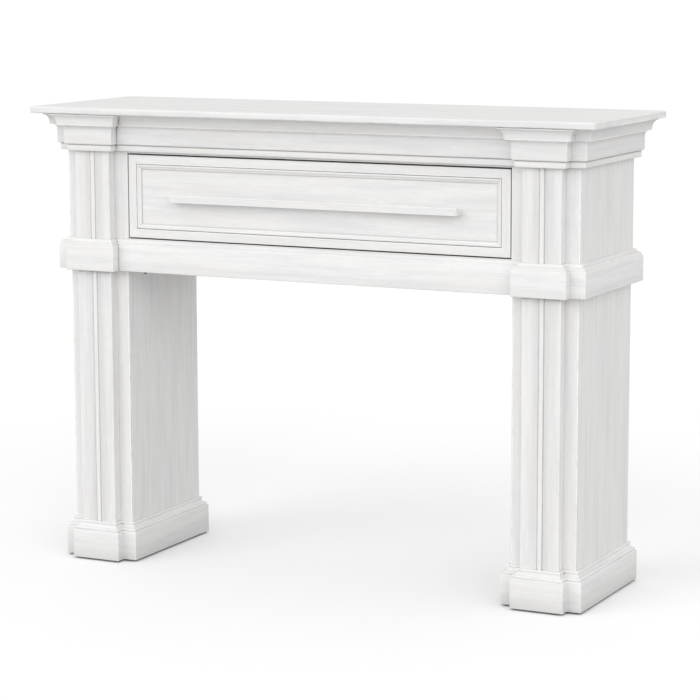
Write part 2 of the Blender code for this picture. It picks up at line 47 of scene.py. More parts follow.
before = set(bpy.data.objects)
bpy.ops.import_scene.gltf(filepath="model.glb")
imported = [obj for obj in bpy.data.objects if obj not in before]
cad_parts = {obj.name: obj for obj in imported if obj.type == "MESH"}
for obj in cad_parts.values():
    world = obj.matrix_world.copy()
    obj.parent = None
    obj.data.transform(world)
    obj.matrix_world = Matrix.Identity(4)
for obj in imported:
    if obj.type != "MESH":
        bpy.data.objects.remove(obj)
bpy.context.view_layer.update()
SIDES = ("left", "right")
EDGES = ("bottom", "left", "top", "right")

MERGE_DISTANCE = 0.00001
JOINT_GAP = 0.0003
FLAT_ANGLE = math.radians(0.5)
ARRIS_ANGLE = math.radians(12)
SMOOTH_ANGLE = math.radians(38)
RIM_ANGLE = math.radians(40)
CORNER_SLOPE = 0.2
MITRE_SLOPE = 0.7
TOP_SLOPE = 0.9
ROUND_SEGMENTS = 2
GRAIN_JUMP = 20.0

# Shares of the deepest wear, and the level above which the noise makes a nick.
STEADY_WEAR = 0.34
WAVE_SHARE = 0.55
NICK_SHARE = 1.1
NICK_LEVEL = 0.3

# How far arrises are held back from the painted highlight, how wide that is at a bead's foot, and the
# heights that are kept clear of the glaze and painted shade.
QUIET_TOP = 0.7
QUIET_MITRE = 0.6
BEAD_FOOT = 0.0025
CLEARED_HEAD = 0.004
CLEARED_FOOT = 0.0015

# Each fade runs from no arris or recess at all to a full one.
OCCLUSION_SAMPLES = 8
ARRIS_FADE = (0.95, 0.60)
RECESS_FADE = (0.75, 0.05)
NOISE_MIDDLE = (0.3, 0.7)

# The limed wood. A span gives a low and a high value, and may add the results at them.
# Painted shade, partly glaze: the ledge, crease and foot values lay the glaze colour darkest under
# ledges and lighter in creases and at a bead's foot, where shade falls.
LEDGE_LIFT = 0.7
LEDGE_POWER = 1.6
CREASE_REACH = 0.5
CREASE_SHARE = 0.3
FOOT_GLAZE_AND_SHADE = (0.7, 1.0, 0.0, 0.3)
GLAZE_AND_SHADE_SHARE = 0.95
# Painted highlight: the shares of the white laid along the arrises of mouldings and of boards.
MOULDING_HIGHLIGHT = 0.8
BOARD_HIGHLIGHT = 0.45
RUBBED_SPAN = (0.52, 0.68)
RUBBED_SHARE = 0.3
TINT_SPAN = (0.42, 0.58)
SMOOTHER = 0.07
ROUGHER = 0.10
STREAK_HEIGHT = 0.8
LIMED_RELIEF_SHARE = 0.35
LIMED_SPECULAR = 0.28
LIMED_SPANS = {
    "Streak": (0.40, 0.68, 0.0, 0.55),
    "Fibre": (0.50, 0.72, 0.0, 0.40),
    "Spots": (0.35, 0.70, 0.0, 0.25),
}

# The clear-finished wood of the drawer box and its runners.
BARE_LENGTH = 0.34
BARE_WIDTH = 0.010
BARE_REACH = 0.010
BARE_STREAKS = (0.35, 0.7)
BARE_TINT = (0.4, 0.7, 0.0, 0.45)
# Painted shade: a dark brown laid in the box's recesses and corners.
BARE_PAINTED_SHADE_SHARE = 0.5
BARE_ROUGHNESS = (0.58, 0.78)
BARE_RELIEF = 0.0003
BARE_RELIEF_SHARE = 0.4
BARE_PALE = (0.60, 0.44, 0.28)
BARE_DARK = (0.40, 0.27, 0.155)
BARE_WARM = (0.66, 0.52, 0.36)
BARE_PAINTED_SHADE = (0.20, 0.14, 0.09)

MOTTLE_DETAIL = 3.0
MOTTLE_SPAN = (0.35, 0.7)
MOTTLE_ROUGHNESS = 0.1
MOTTLE_RELIEF = 0.0001
MOTTLE_RELIEF_SHARE = 0.3
# Each mottled finish: its colour, the paler one of its mottle, its roughness and its grain's size.
NYLON = ((0.36, 0.35, 0.32), (0.46, 0.45, 0.42), 0.55, 0.002)
BLACKED_STEEL = ((0.02, 0.02, 0.021), (0.07, 0.068, 0.066), 0.42, 0.001)

# The bolt's sides, and shares of its radius, or for the socket's depth, of its height.
BOLT_SIDES = 24
BOLT_TAPER = 0.82
BOLT_WALL = 0.4
BOLT_SOCKET = 0.4
BOLT_RIM = 0.08

# The floor is paler to the camera than in the light that it bounces onto the mantelpiece.
FLOOR_SHOWN = ((0.96, 0.96, 0.96), (0.98, 0.98, 0.98))
FLOOR_BOUNCED = ((0.59, 0.59, 0.59), (0.61, 0.61, 0.61))
FLOOR_MOTTLE = 1.5
FLOOR_ROUGHNESS = 0.9
FLOOR_SPECULAR = 0.1
SENSOR_WIDTH = 36.0


class LimedWoodSettings(bpy.types.PropertyGroup):
    """Colours and grain of the limed wood."""

    wash: bpy.props.FloatVectorProperty(
        name="Wash",
        description="Colour of the white wash on the flats",
        default=(0.784, 0.782, 0.777),
        subtype="COLOR",
        min=0,
        max=1,
    )
    cool_shade: bpy.props.FloatVectorProperty(
        name="Cool shade",
        description="Thin wash over the darker grain",
        default=(0.655, 0.651, 0.662),
        subtype="COLOR",
        min=0,
        max=1,
    )
    warm_shade: bpy.props.FloatVectorProperty(
        name="Warm shade",
        description="Thin wash where the wood shows through",
        default=(0.700, 0.685, 0.650),
        subtype="COLOR",
        min=0,
        max=1,
    )
    rubbed: bpy.props.FloatVectorProperty(
        name="Rubbed wood",
        description="Brown of the spots that are rubbed through",
        default=(0.52, 0.43, 0.36),
        subtype="COLOR",
        min=0,
        max=1,
    )
    # Painted shade, partly glaze: the warm grey laid under ledges and in recesses, where shade falls.
    glaze_and_shade: bpy.props.FloatVectorProperty(
        name="Glaze",
        description="Warm grey settled in the recesses",
        default=(0.27, 0.235, 0.20),
        subtype="COLOR",
        min=0,
        max=1,
    )
    # Painted contact shadow: the near black laid along the bottom of the plinths that stand on the
    # glides.
    contact_shadow_colour: bpy.props.FloatVectorProperty(
        name="Underside",
        description="Bare, dirty wood under the plinths",
        default=(0.05, 0.04, 0.032),
        subtype="COLOR",
        min=0,
        max=1,
    )
    # Painted highlight: the white laid along the outside arrises.
    bright: bpy.props.FloatVectorProperty(
        name="Bright edge",
        description="White built up along the edges",
        default=(0.97, 0.97, 0.955),
        subtype="COLOR",
        min=0,
        max=1,
    )
    grain_length: bpy.props.FloatProperty(
        name="Grain length",
        description="Length of one streak of grain",
        default=0.24,
        unit="LENGTH",
    )
    grain_width: bpy.props.FloatProperty(
        name="Grain width",
        description="Width of one streak of grain",
        default=0.014,
        unit="LENGTH",
    )
    # How far the glaze and painted shade reach out of a recess.
    glaze_and_shade_reach: bpy.props.FloatProperty(
        name="Glaze reach",
        description="How far out of a recess the glaze spreads",
        default=0.006,
        unit="LENGTH",
    )
    # Width of the painted highlight and the rubbed wear along an arris.
    edge_width: bpy.props.FloatProperty(
        name="Edge width",
        description="Width of the bright line along an edge",
        default=0.0030,
        unit="LENGTH",
    )
    roughness: bpy.props.FloatProperty(
        name="Roughness",
        description="Roughness of the matt wash",
        default=0.62,
        min=0,
        max=1,
        subtype="FACTOR",
    )
    relief: bpy.props.FloatProperty(
        name="Relief",
        description="Depth of the brushed grain",
        default=0.0007,
        unit="LENGTH",
    )


class HandworkSettings(bpy.types.PropertyGroup):
    """How the boards and mouldings are cut and worn."""

    cut_spacing: bpy.props.FloatProperty(
        name="Cut spacing",
        description="Distance between the rows of points along a piece",
        default=0.011,
        unit="LENGTH",
    )
    corner_round: bpy.props.FloatProperty(
        name="Corner round",
        description="Rounding of a moulding's outside corners",
        default=0.0012,
        unit="LENGTH",
    )
    shelf_corner_round: bpy.props.FloatProperty(
        name="Shelf corner round",
        description="Rounding of the shelf's four corners",
        default=0.006,
        unit="LENGTH",
    )
    wear_depth: bpy.props.FloatProperty(
        name="Wear depth",
        description="Deepest wear of an edge",
        default=0.0004,
        unit="LENGTH",
    )
    shelf_wear_depth: bpy.props.FloatProperty(
        name="Shelf wear depth",
        description="Deepest wear of the shelf's edge",
        default=0.0024,
        unit="LENGTH",
    )
    wave_length: bpy.props.FloatProperty(
        name="Wave length",
        description="Length of the slow waves along an edge",
        default=0.085,
        unit="LENGTH",
    )
    nick_length: bpy.props.FloatProperty(
        name="Nick length",
        description="Length of the small nicks along an edge",
        default=0.017,
        unit="LENGTH",
    )


class BoltSettings(bpy.types.PropertyGroup):
    """The dark bolt under the lintel."""

    radius: bpy.props.FloatProperty(
        name="Head radius",
        description="Radius of the bolt's head",
        default=0.005,
        unit="LENGTH",
    )
    height: bpy.props.FloatProperty(
        name="Head height",
        description="How far the head stands out under the lintel",
        default=0.006,
        unit="LENGTH",
    )
    inset: bpy.props.FloatVectorProperty(
        name="Inset",
        description="From the opening's left front corner, along X and Y",
        default=(0.044, 0.006),
        size=2,
        unit="LENGTH",
    )


class StageSettings(bpy.types.PropertyGroup):
    """Floor, lights and camera."""

    camera_place: bpy.props.FloatVectorProperty(
        name="Camera place",
        description="Where the camera stands",
        default=(2.8485, -5.6999, 1.5646),
        subtype="TRANSLATION",
    )
    camera_turn: bpy.props.FloatProperty(
        name="Camera turn",
        description="Turn of the camera about Z",
        default=0.46073,
        unit="ROTATION",
    )
    camera_tilt: bpy.props.FloatProperty(
        name="Camera tilt",
        description="How far the camera looks down",
        default=0.15615,
        unit="ROTATION",
    )
    camera_roll: bpy.props.FloatProperty(
        name="Camera roll",
        description="Roll of the camera about its view axis",
        default=-0.00294,
        unit="ROTATION",
    )
    focal_length: bpy.props.FloatProperty(
        name="Focal length",
        description="Focal length in millimetres on a 36 mm sensor",
        default=131.98,
    )
    floor_size: bpy.props.FloatProperty(
        name="Floor size",
        description="Side of the square floor",
        default=400.0,
        unit="LENGTH",
    )
    sky: bpy.props.FloatProperty(
        name="Sky",
        description="Strength of the even light from all round",
        default=0.865,
    )
    lamps: bpy.props.FloatVectorProperty(
        name="Lamps",
        description="Strengths of the soft lamps at the front left, the front right and the right",
        default=(0.85, 0.75, 0.23),
    )
    lamp_turns: bpy.props.FloatVectorProperty(
        name="Lamp turns",
        description="Turns of the three lamps about Z, from straight in front",
        default=(math.radians(-30), math.radians(35), math.radians(80)),
        unit="ROTATION",
    )
    lamp_height: bpy.props.FloatProperty(
        name="Lamp height",
        description="Height of the lamps above the horizon",
        default=math.radians(20),
        unit="ROTATION",
    )
    lamp_softness: bpy.props.FloatProperty(
        name="Lamp softness",
        description="Angle across each lamp",
        default=math.radians(50),
        unit="ROTATION",
    )


def add_sockets(tree, inputs, outputs):
    """Gives a node group its named inputs, with their defaults, and its named outputs."""
    for name, kind, value in inputs:
        socket = tree.interface.new_socket(name=name, in_out="INPUT", socket_type=kind)
        if value is not None:
            socket.default_value = value
    for name, kind in outputs:
        tree.interface.new_socket(name=name, in_out="OUTPUT", socket_type=kind)


class Graph:
    """A short way to place and join nodes in one tree."""

    def __init__(self, tree):
        self.tree = tree

    def add(self, kind, settings=None, **links):
        node = self.tree.nodes.new(kind)
        for key, value in (settings or {}).items():
            setattr(node, key, value)
        for key, value in links.items():
            self.feed(node.inputs[key.replace("_", " ")], value)
        return node

    def feed(self, socket, value):
        if isinstance(value, bpy.types.NodeSocket):
            self.tree.links.new(value, socket)
        else:
            socket.default_value = value

    def attribute(self, name, output="Fac"):
        """Reads one of the attributes that the pieces carry."""
        return self.add("ShaderNodeAttribute", {"attribute_name": name}).outputs[output]

    def maths(self, operation, first, second=0.0, clamp=False):
        node = self.tree.nodes.new("ShaderNodeMath")
        node.operation = operation
        node.use_clamp = clamp
        self.feed(node.inputs[0], first)
        self.feed(node.inputs[1], second)
        return node.outputs[0]

    def spread(self, value, low, high, to_low=0.0, to_high=1.0):
        """Maps low..high to to_low..to_high, kept within them."""
        node = self.tree.nodes.new("ShaderNodeMapRange")
        node.clamp = True
        for name, number in (
            ("Value", value),
            ("From Min", low),
            ("From Max", high),
            ("To Min", to_low),
            ("To Max", to_high),
        ):
            self.feed(node.inputs[name], number)
        return node.outputs["Result"]

    def blend(self, factor, first, second):
        node = self.tree.nodes.new("ShaderNodeMix")
        node.data_type = "RGBA"
        self.feed(node.inputs[0], factor)
        self.feed(node.inputs[6], first)
        self.feed(node.inputs[7], second)
        return node.outputs[2]

    def emboss(self, shader, height, strength, distance):
        """Gives a shader a relief."""
        relief = self.add("ShaderNodeBump", Height=height, Strength=strength, Distance=distance)
        self.feed(shader.inputs["Normal"], relief.outputs["Normal"])

    def stretched_noise(self, vector, along, across, detail):
        """Noise drawn out along the first axis of the vector."""
        scale = self.tree.nodes.new("ShaderNodeCombineXYZ")
        self.feed(scale.inputs[0], self.maths("DIVIDE", 1.0, along))
        for axis in (1, 2):
            self.feed(scale.inputs[axis], self.maths("DIVIDE", 1.0, across))
        scaled = self.tree.nodes.new("ShaderNodeVectorMath")
        scaled.operation = "MULTIPLY"
        self.feed(scaled.inputs[0], vector)
        self.feed(scaled.inputs[1], scale.outputs[0])
        place = scaled.outputs[0]
        return self.add("ShaderNodeTexNoise", Vector=place, Scale=1.0, Detail=detail).outputs["Fac"]


def group_tree(name, inputs, outputs):
    """A new node group with its sockets: the graph, its input node and its output node."""
    tree = bpy.data.node_groups.new(name, "ShaderNodeTree")
    add_sockets(tree, inputs, outputs)
    graph = Graph(tree)
    return graph, graph.add("NodeGroupInput").outputs, graph.add("NodeGroupOutput")


def wood_grain_group():
    """Noises that follow the grain. Each is drawn out by its own shares of the length and the width."""
    noises = {
        "Streak": (1.0, 1.0, 3.0),
        "Fibre": (0.25, 0.15, 2.0),
        "Tint": (1.3, 2.4, 1.0),
        "Spots": (0.09, 0.6, 4.0),
    }
    graph, given, result = group_tree(
        "Wood Grain",
        [
            ("Vector", "NodeSocketVector", None),
            ("Length", "NodeSocketFloat", 0.3),
            ("Width", "NodeSocketFloat", 0.01),
        ],
        [(name, "NodeSocketFloat") for name in noises],
    )
    for name, (along, across, detail) in noises.items():
        length = graph.maths("MULTIPLY", given["Length"], along)
        width = graph.maths("MULTIPLY", given["Width"], across)
        drawn = graph.stretched_noise(given["Vector"], length, width, detail)
        graph.feed(result.inputs[name], drawn)
    return graph.tree


def arris_wear_and_highlight_group():
    """A mask of the outside arrises, as wide as the given width, for the painted highlight and the
    rubbed wear.
    """
    graph, given, result = group_tree(
        "Arris Wear And Highlight",
        [("Width", "NodeSocketFloat", 0.003)],
        [("Edge", "NodeSocketFloat")],
    )
    settings = {"samples": OCCLUSION_SAMPLES, "inside": True, "only_local": True}
    solid = graph.add("ShaderNodeAmbientOcclusion", settings, Distance=given["Width"])
    edge = graph.spread(solid.outputs["AO"], *ARRIS_FADE)
    graph.feed(result.inputs["Edge"], edge)
    return graph.tree


def glaze_and_shade_group():
    """A mask of the recesses, for glaze and painted shade. With a lift it looks upwards and finds the
    places under a ledge, where shade falls.
    """
    graph, given, result = group_tree(
        "Glaze And Painted Shade",
        [("Reach", "NodeSocketFloat", 0.006), ("Lift", "NodeSocketFloat", 0.0)],
        [("Recess", "NodeSocketFloat")],
    )
    plain = graph.add("ShaderNodeNewGeometry").outputs["Normal"]
    lift = graph.add("ShaderNodeCombineXYZ", Z=given["Lift"]).outputs["Vector"]
    lifted = graph.tree.nodes.new("ShaderNodeVectorMath")
    lifted.operation = "ADD"
    graph.feed(lifted.inputs[0], plain)
    graph.feed(lifted.inputs[1], lift)
    settings = {"samples": OCCLUSION_SAMPLES}
    open_air = graph.add("ShaderNodeAmbientOcclusion", settings, Distance=given["Reach"])
    graph.feed(open_air.inputs["Normal"], lifted.outputs["Vector"])
    recess = graph.spread(open_air.outputs["AO"], *RECESS_FADE)
    graph.feed(result.inputs["Recess"], recess)
    return graph.tree


GROUPS = {}


def group(name):
    """One of the shared node groups, built the first time that it is asked for."""
    makers = {"grain": wood_grain_group, "edge": arris_wear_and_highlight_group, "glaze_and_shade": glaze_and_shade_group}
    if name not in GROUPS:
        GROUPS[name] = makers[name]()
    return GROUPS[name]


def place_group(graph, name, **inputs):
    return graph.add("ShaderNodeGroup", {"node_tree": group(name)}, **inputs).outputs


def new_material(name):
    """A material, its graph and its Principled BSDF."""
    material = bpy.data.materials.new(name)
    material.use_nodes = True
    return material, Graph(material.node_tree), material.node_tree.nodes["Principled BSDF"]


def opaque(colour):
    return (*colour, 1.0)


def limed_wood(name, highlight_share):
    """White wash over brushed grain, with glaze and painted shade in the recesses and under ledges,
    rubbed spots, a painted highlight along the arrises and a painted contact shadow under the plinths.
    """
    settings = bpy.context.scene.limed_wood
    material, graph, shader = new_material(name)
    along = graph.attribute("grain", "Vector")
    quiet = graph.attribute("quiet")
    length, width = settings.grain_length, settings.grain_width
    grain = place_group(graph, "grain", Vector=along, Length=length, Width=width)
    arris = place_group(graph, "edge", Width=settings.edge_width)["Edge"]
    edge = graph.maths("MULTIPLY", arris, graph.maths("SUBTRACT", 1.0, quiet))
    # Painted shade, partly glaze: darkest under ledges, lighter in creases and at a bead's foot.
    reach = settings.glaze_and_shade_reach
    under = place_group(graph, "glaze_and_shade", Reach=reach, Lift=LEDGE_LIFT)["Recess"]
    crease = place_group(graph, "glaze_and_shade", Reach=reach * CREASE_REACH, Lift=0.0)["Recess"]
    foot = graph.spread(quiet, *FOOT_GLAZE_AND_SHADE)
    deep = graph.maths("POWER", under, LEDGE_POWER)
    lined = graph.maths("MULTIPLY", crease, CREASE_SHARE)
    glaze_and_shade_mask = graph.maths("MAXIMUM", graph.maths("MAXIMUM", deep, foot), lined)
    glaze_and_shade_cleared = graph.attribute("glaze_and_shade_cleared")
    recess = graph.maths("MULTIPLY", glaze_and_shade_mask, graph.maths("SUBTRACT", 1.0, glaze_and_shade_cleared))
    tint = graph.spread(grain["Tint"], *TINT_SPAN)
    shade = graph.blend(tint, opaque(settings.cool_shade), opaque(settings.warm_shade))
    colour = opaque(settings.wash)
    for kind, span in LIMED_SPANS.items():
        colour = graph.blend(graph.spread(grain[kind], *span), colour, shade)
    # Lays the glaze colour as painted shade over the recesses.
    glaze_and_shade_amount = graph.maths("MULTIPLY", recess, GLAZE_AND_SHADE_SHARE)
    colour = graph.blend(glaze_and_shade_amount, colour, opaque(settings.glaze_and_shade))
    bare = graph.maths("SUBTRACT", 1.0, recess, clamp=True)
    # Painted highlight along the arrises, held back where there is painted shade.
    bright = graph.maths("MULTIPLY", graph.maths("MULTIPLY", edge, bare), highlight_share)
    colour = graph.blend(bright, colour, opaque(settings.bright))
    spots = graph.spread(grain["Spots"], *RUBBED_SPAN)
    worn = graph.maths("MAXIMUM", edge, recess)
    rubbed = graph.maths("MULTIPLY", graph.maths("MULTIPLY", spots, worn), RUBBED_SHARE)
    colour = graph.blend(rubbed, colour, opaque(settings.rubbed))
    # Painted contact shadow under the plinths.
    colour = graph.blend(graph.attribute("raw"), colour, opaque(settings.contact_shadow_colour))
    graph.feed(shader.inputs["Base Color"], colour)
    smooth, coarse = settings.roughness - SMOOTHER, settings.roughness + ROUGHER
    rough = graph.spread(grain["Streak"], *NOISE_MIDDLE, smooth, coarse)
    graph.feed(shader.inputs["Roughness"], rough)
    streaked = graph.maths("MULTIPLY", grain["Streak"], STREAK_HEIGHT)
    height = graph.maths("ADD", grain["Fibre"], streaked)
    graph.emboss(shader, height, LIMED_RELIEF_SHARE, settings.relief)
    shader.inputs["Specular IOR Level"].default_value = LIMED_SPECULAR
    return material


def bare_wood():
    """The drawer box's clear-finished wood, with painted shade in its recesses."""
    material, graph, shader = new_material("Bare drawer wood")
    along = graph.attribute("grain", "Vector")
    grain = place_group(graph, "grain", Vector=along, Length=BARE_LENGTH, Width=BARE_WIDTH)
    recess = place_group(graph, "glaze_and_shade", Reach=BARE_REACH, Lift=0.0)["Recess"]
    streaks = graph.spread(grain["Streak"], *BARE_STREAKS)
    colour = graph.blend(streaks, opaque(BARE_PALE), opaque(BARE_DARK))
    colour = graph.blend(graph.spread(grain["Tint"], *BARE_TINT), colour, opaque(BARE_WARM))
    # Painted shade in the box's recesses.
    glaze_and_shade_amount = graph.maths("MULTIPLY", recess, BARE_PAINTED_SHADE_SHARE)
    colour = graph.blend(glaze_and_shade_amount, colour, opaque(BARE_PAINTED_SHADE))
    graph.feed(shader.inputs["Base Color"], colour)
    rough = graph.spread(grain["Fibre"], *NOISE_MIDDLE, *BARE_ROUGHNESS)
    graph.feed(shader.inputs["Roughness"], rough)
    graph.emboss(shader, grain["Fibre"], BARE_RELIEF_SHARE, BARE_RELIEF)
    return material


def mottled_finish(name, colour, pale, roughness, grain_size):
    """A dull moulded or blacked surface with a fine mottle."""
    material, graph, shader = new_material(name)
    place = graph.add("ShaderNodeTexCoord").outputs["Object"]
    scale = 1 / grain_size
    drawn = graph.add("ShaderNodeTexNoise", Vector=place, Scale=scale, Detail=MOTTLE_DETAIL)
    mottle = drawn.outputs["Fac"]
    shade = graph.blend(graph.spread(mottle, *MOTTLE_SPAN), opaque(colour), opaque(pale))
    graph.feed(shader.inputs["Base Color"], shade)
    smooth, coarse = roughness - MOTTLE_ROUGHNESS, roughness + MOTTLE_ROUGHNESS
    graph.feed(shader.inputs["Roughness"], graph.spread(mottle, *NOISE_MIDDLE, smooth, coarse))
    graph.emboss(shader, mottle, MOTTLE_RELIEF_SHARE, MOTTLE_RELIEF)
    return material


MATERIALS = {}


def material(name):
    """One of the finishes, made the first time that it is asked for."""
    makers = {
        "limed": lambda: limed_wood("Limed mouldings", MOULDING_HIGHLIGHT),
        "limed_boards": lambda: limed_wood("Limed boards", BOARD_HIGHLIGHT),
        "bare": bare_wood,
        "nylon": lambda: mottled_finish("Grey nylon", *NYLON),
        "bolt": lambda: mottled_finish("Blacked steel", *BLACKED_STEEL),
    }
    if name not in MATERIALS:
        MATERIALS[name] = makers[name]()
    return MATERIALS[name]


def merged_copy(node, ring):
    """A node's mesh with its loose triangles joined into whole faces, or, in a ring, whose flat
    faces go round a hole, into four-sided ones."""
    bm = bmesh.new()
    bm.from_mesh(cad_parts[node].data)
    bmesh.ops.remove_doubles(bm, verts=bm.verts, dist=MERGE_DISTANCE)
    if ring:
        bmesh.ops.join_triangles(
            bm, faces=bm.faces, angle_face_threshold=FLAT_ANGLE, angle_shape_threshold=math.pi
        )
    else:
        bmesh.ops.dissolve_limit(bm, angle_limit=FLAT_ANGLE, verts=bm.verts, edges=bm.edges)
    return bm


def is_outside_corner(edge):
    """Whether a moulding turns an outside corner of the plan along this edge."""
    if len(edge.link_faces) != 2 or not edge.is_convex:
        return False
    first, second = (face.normal.xy for face in edge.link_faces)
    if min(first.length, second.length) < CORNER_SLOPE:
        return False
    return abs(first.normalized().dot(second.normalized())) < CORNER_SLOPE


def round_corners(bm, width):
    corners = [edge for edge in bm.edges if is_outside_corner(edge)]
    bmesh.ops.bevel(
        bm,
        geom=corners,
        offset=width,
        segments=ROUND_SEGMENTS,
        affect="EDGES",
        profile=0.5,
        material=-1,
        clamp_overlap=True,
    )


def cross_cut(bm, axis, spacing):
    """Cuts rows of points square across an axis."""
    places = [vert.co[axis] for vert in bm.verts]
    low, high = min(places), max(places)
    count = int((high - low) / spacing)
    normal = Vector([float(i == axis) for i in range(3)])
    for i in range(1, count):
        point = normal * (low + (high - low) * i / count)
        everything = bm.verts[:] + bm.edges[:] + bm.faces[:]
        bmesh.ops.bisect_plane(bm, geom=everything, dist=MERGE_DISTANCE, plane_co=point, plane_no=normal)


def wear_at(place, settings):
    """Share of the deepest wear at a place: slow waves with a few short nicks in them."""
    wave = noise.noise(place / settings.wave_length)
    nick = max(0.0, noise.noise(place / settings.nick_length) - NICK_LEVEL)
    return min(1.0, max(0.0, STEADY_WEAR + WAVE_SHARE * wave + NICK_SHARE * nick))


def is_mitre(normal):
    return min(abs(normal.x), abs(normal.z)) > MITRE_SLOPE


def is_top(normal):
    return normal.z > TOP_SLOPE


def hold_back(bm, test, amount, foot=0.0):
    """Stores how far the arrises are kept from the painted highlight: by amount on the faces that pass
    the test, and wholly within foot of the piece's back, where it meets the piece behind it and gets
    painted shade."""
    layer = bm.verts.layers.float.new("quiet")
    for face in bm.faces:
        if test(face.normal):
            for vert in face.verts:
                vert[layer] = amount
    back = max(vert.co.y for vert in bm.verts)
    for vert in bm.verts:
        if vert.co.y > back - foot:
            vert[layer] = 1.0


def clear_glaze_and_shade(bm, head, foot, stands):
    """Marks the points near a piece's head and foot as kept clear of glaze and painted shade. A foot
    that stands on the glides gets a painted contact shadow underneath, and any other is lowered over the
    joint gap below it."""
    heights = [vert.co.z for vert in bm.verts]
    low, high = min(heights), max(heights)
    glaze_and_shade_cleared = bm.verts.layers.float.new("glaze_and_shade_cleared")
    raw = bm.verts.layers.float.new("raw")
    for vert in bm.verts:
        underneath = vert.co.z < low + MERGE_DISTANCE
        if vert.co.z > high - head or vert.co.z < low + foot:
            vert[glaze_and_shade_cleared] = 1.0
        if underneath and stands:
            vert[raw] = 1.0
        elif underneath:
            vert.co.z -= JOINT_GAP


def wear_edges(bm, depth, settings, jump):
    """Sinks the points along each arris, never outwards, so that no piece meets its neighbour."""
    bm.normal_update()
    mitred = {vert for face in bm.faces if is_mitre(face.normal) for vert in face.verts}
    moves = {}
    for vert in bm.verts:
        convex = [edge for edge in vert.link_edges if edge.is_convex]
        sharp = any(edge.calc_face_angle(0) > ARRIS_ANGLE for edge in convex)
        if sharp and vert not in mitred:
            moves[vert] = vert.normal * (depth * wear_at(vert.co + jump, settings))
    for vert, move in moves.items():
        vert.co -= move


def lay_grain(bm, direction, jump):
    """Stores each corner's place along the grain and across it. direction is x, y, z or turning."""
    layer = bm.loops.layers.float_vector.new("grain")
    orders = {"x": (0, 1, 2), "y": (1, 0, 2), "z": (2, 0, 1)}
    for face in bm.faces:
        way = direction
        if direction == "turning":
            way = "y" if abs(face.normal.x) > abs(face.normal.y) else "x"
        order = orders[way]
        for loop in face.loops:
            loop[layer] = Vector([loop.vert.co[i] for i in order]) + jump


def make_piece(name, bm, finish, body, nodes):
    """Turns a bmesh into a piece that rides on a body and stands for the given nodes."""
    mesh = bpy.data.meshes.new(name)
    bm.to_mesh(mesh)
    bm.free()
    mesh.shade_smooth()
    mesh.set_sharp_from_angle(angle=SMOOTH_ANGLE)
    mesh.materials.append(material(finish))
    piece = bpy.data.objects.new(name, mesh)
    bpy.context.scene.collection.objects.link(piece)
    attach(piece, body)
    if nodes:
        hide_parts(*nodes)


def dress(
    node,
    direction,
    cuts,
    finish="limed",
    depth=None,
    corners=0.0,
    ring=False,
    quiet=None,
    glaze_and_shade_cleared=None,
    body="cabinet",
):
    """Makes the finished copy of a node, with rows of points across the axes in cuts."""
    settings = bpy.context.scene.handwork
    chance = random.Random(node)
    jump = Vector([chance.uniform(0, GRAIN_JUMP) for _ in range(3)])
    bm = merged_copy(node, ring)
    if corners:
        round_corners(bm, corners)
    for axis in cuts:
        cross_cut(bm, axis, settings.cut_spacing)
    if quiet:
        hold_back(bm, *quiet)
    if glaze_and_shade_cleared:
        clear_glaze_and_shade(bm, *glaze_and_shade_cleared)
    wear_edges(bm, settings.wear_depth if depth is None else depth, settings, jump)
    lay_grain(bm, direction, jump)
    make_piece(f"{node}_finished", bm, finish, body, [node])


def dress_runs(kind):
    """Makes the lengths of one moulding: one round each leg, one between them and one at the back."""
    for side in SIDES:
        dress(f"{kind}_{side}", "turning", (0, 1), corners=bpy.context.scene.handwork.corner_round)
    for run in ("centre", "back"):
        dress(f"{kind}_{run}", "x", (0,))


class MANTEL_OT_shelf(bpy.types.Operator):
    """Make the shelf with its hand-worn wavy edge"""

    bl_idname = "mantel.shelf"
    bl_label = "Shelf"

    def execute(self, context):
        settings = context.scene.handwork
        dress(
            "mantel_shelf",
            "x",
            (0, 1),
            depth=settings.shelf_wear_depth,
            corners=settings.shelf_corner_round,
            quiet=(is_top, QUIET_TOP),
        )
        return {"FINISHED"}


class MANTEL_OT_crown(bpy.types.Operator):
    """Make the cove and the frieze of the crown moulding"""

    bl_idname = "mantel.crown"
    bl_label = "Crown moulding"

    def execute(self, context):
        dress_runs("crown_cove")
        dress_runs("crown_frieze")
        return {"FINISHED"}


class MANTEL_OT_belt(bpy.types.Operator):
    """Make the belt moulding between the drawer and the hearth"""

    bl_idname = "mantel.belt"
    bl_label = "Belt moulding"

    def execute(self, context):
        dress_runs("belt")
        return {"FINISHED"}


class MANTEL_OT_pilasters(bpy.types.Operator):
    """Make the four grooved pilaster boards"""

    bl_idname = "mantel.pilasters"
    bl_label = "Pilasters"

    def execute(self, context):
        for part in ("case", "leg"):
            for side in SIDES:
                dress(f"{part}_pilaster_{side}", "z", (2,))
        return {"FINISHED"}


class MANTEL_OT_case(bpy.types.Operator):
    """Make the boards and rails of the case round the drawer"""

    bl_idname = "mantel.case"
    bl_label = "Case boards"

    def execute(self, context):
        for side in SIDES:
            for part in ("front_board", "outer_side", "inner_side"):
                dress(f"case_{part}_{side}", "z", (2,), "limed_boards")
            dress(f"drawer_runner_{side}", "y", (1,), "bare")
        for node in ("lintel_rail", "head_rail", "case_soffit", "case_back"):
            dress(node, "x", (0,), "limed_boards")
        return {"FINISHED"}


class MANTEL_OT_legs(bpy.types.Operator):
    """Make the mitred boards of the two leg boxes"""

    bl_idname = "mantel.legs"
    bl_label = "Leg boards"

    def execute(self, context):
        for side in SIDES:
            for part in ("front", "outer", "inner", "back"):
                dress(f"leg_{part}_board_{side}", "z", (2,), "limed_boards")
        return {"FINISHED"}


